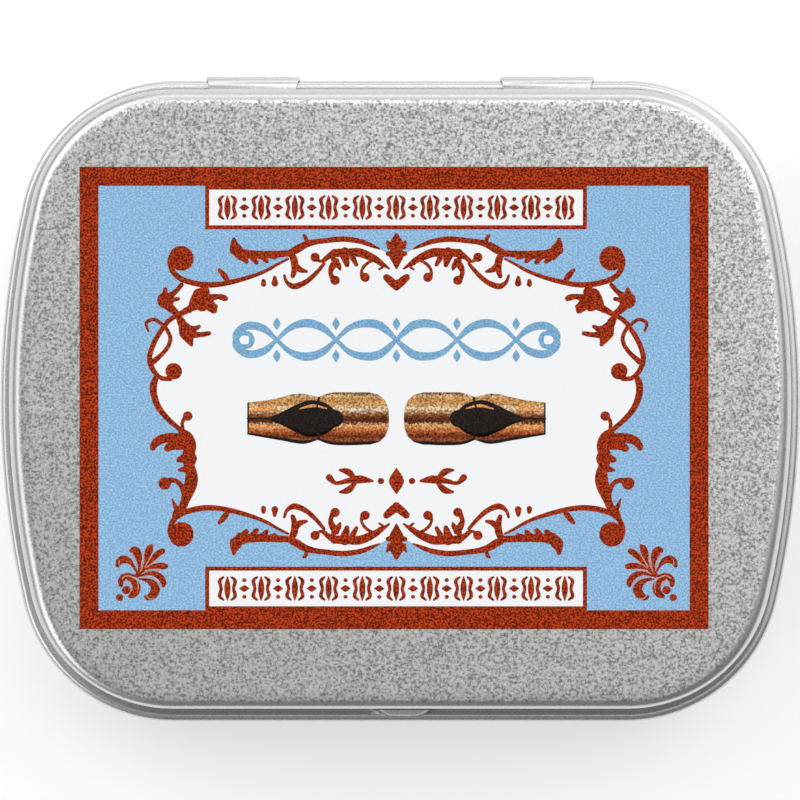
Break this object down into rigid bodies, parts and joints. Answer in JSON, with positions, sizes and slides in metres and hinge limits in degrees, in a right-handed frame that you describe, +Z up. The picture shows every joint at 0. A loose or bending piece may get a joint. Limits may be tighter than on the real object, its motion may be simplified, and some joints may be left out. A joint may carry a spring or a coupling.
{
  "type": "nib tin",
  "caption": "Small hinged tinplate tin with rounded corners, bowed ends, a rolled bead and a printed lid panel, holding broad-edge pen nibs with ink reservoirs.",
  "frame": {"origin": "on the surface the tin stands on, under the middle of the base", "axes": "+Z up out of the lid, +X along the tin, +Y towards the hinge at the back"},
  "size_m": [0.06, 0.0484, 0.015],
  "materials": {
    "tinplate": "satin, fine mottled grain under clear lacquer",
    "red_print": "red-brown ink under clear lacquer",
    "blue_print": "light blue ink under clear lacquer",
    "white_print": "white ink under clear lacquer",
    "nib_bronze": "bronzed steel, smooth",
    "reservoir_brass": "darkened brass, satin"
  },
  "bodies": {
    "tray": {"base": "tinplate", "nib_1": "nib_bronze", "nib_2": "nib_bronze", "nib_3": "nib_bronze", "nib_4": "nib_bronze", "nib_5": "nib_bronze", "nib_6": "nib_bronze", "reservoir_1": "reservoir_brass", "reservoir_2": "reservoir_brass", "reservoir_3": "reservoir_brass", "reservoir_4": "reservoir_brass", "reservoir_5": "reservoir_brass", "reservoir_6": "reservoir_brass"},
    "cover": {"lid": "tinplate", "print_border": "red_print", "print_field": "blue_print", "print_cartouche": "white_print", "title_plates": "white_print"}
  },
  "joints": [
    {"name": "lid_hinge", "type": "hinge", "parent": "tray", "child": "cover", "pos_m": [0, 0.0236, 0.0095], "axis": [-1, 0, 0], "range_deg": [0, 110]}
  ]
}
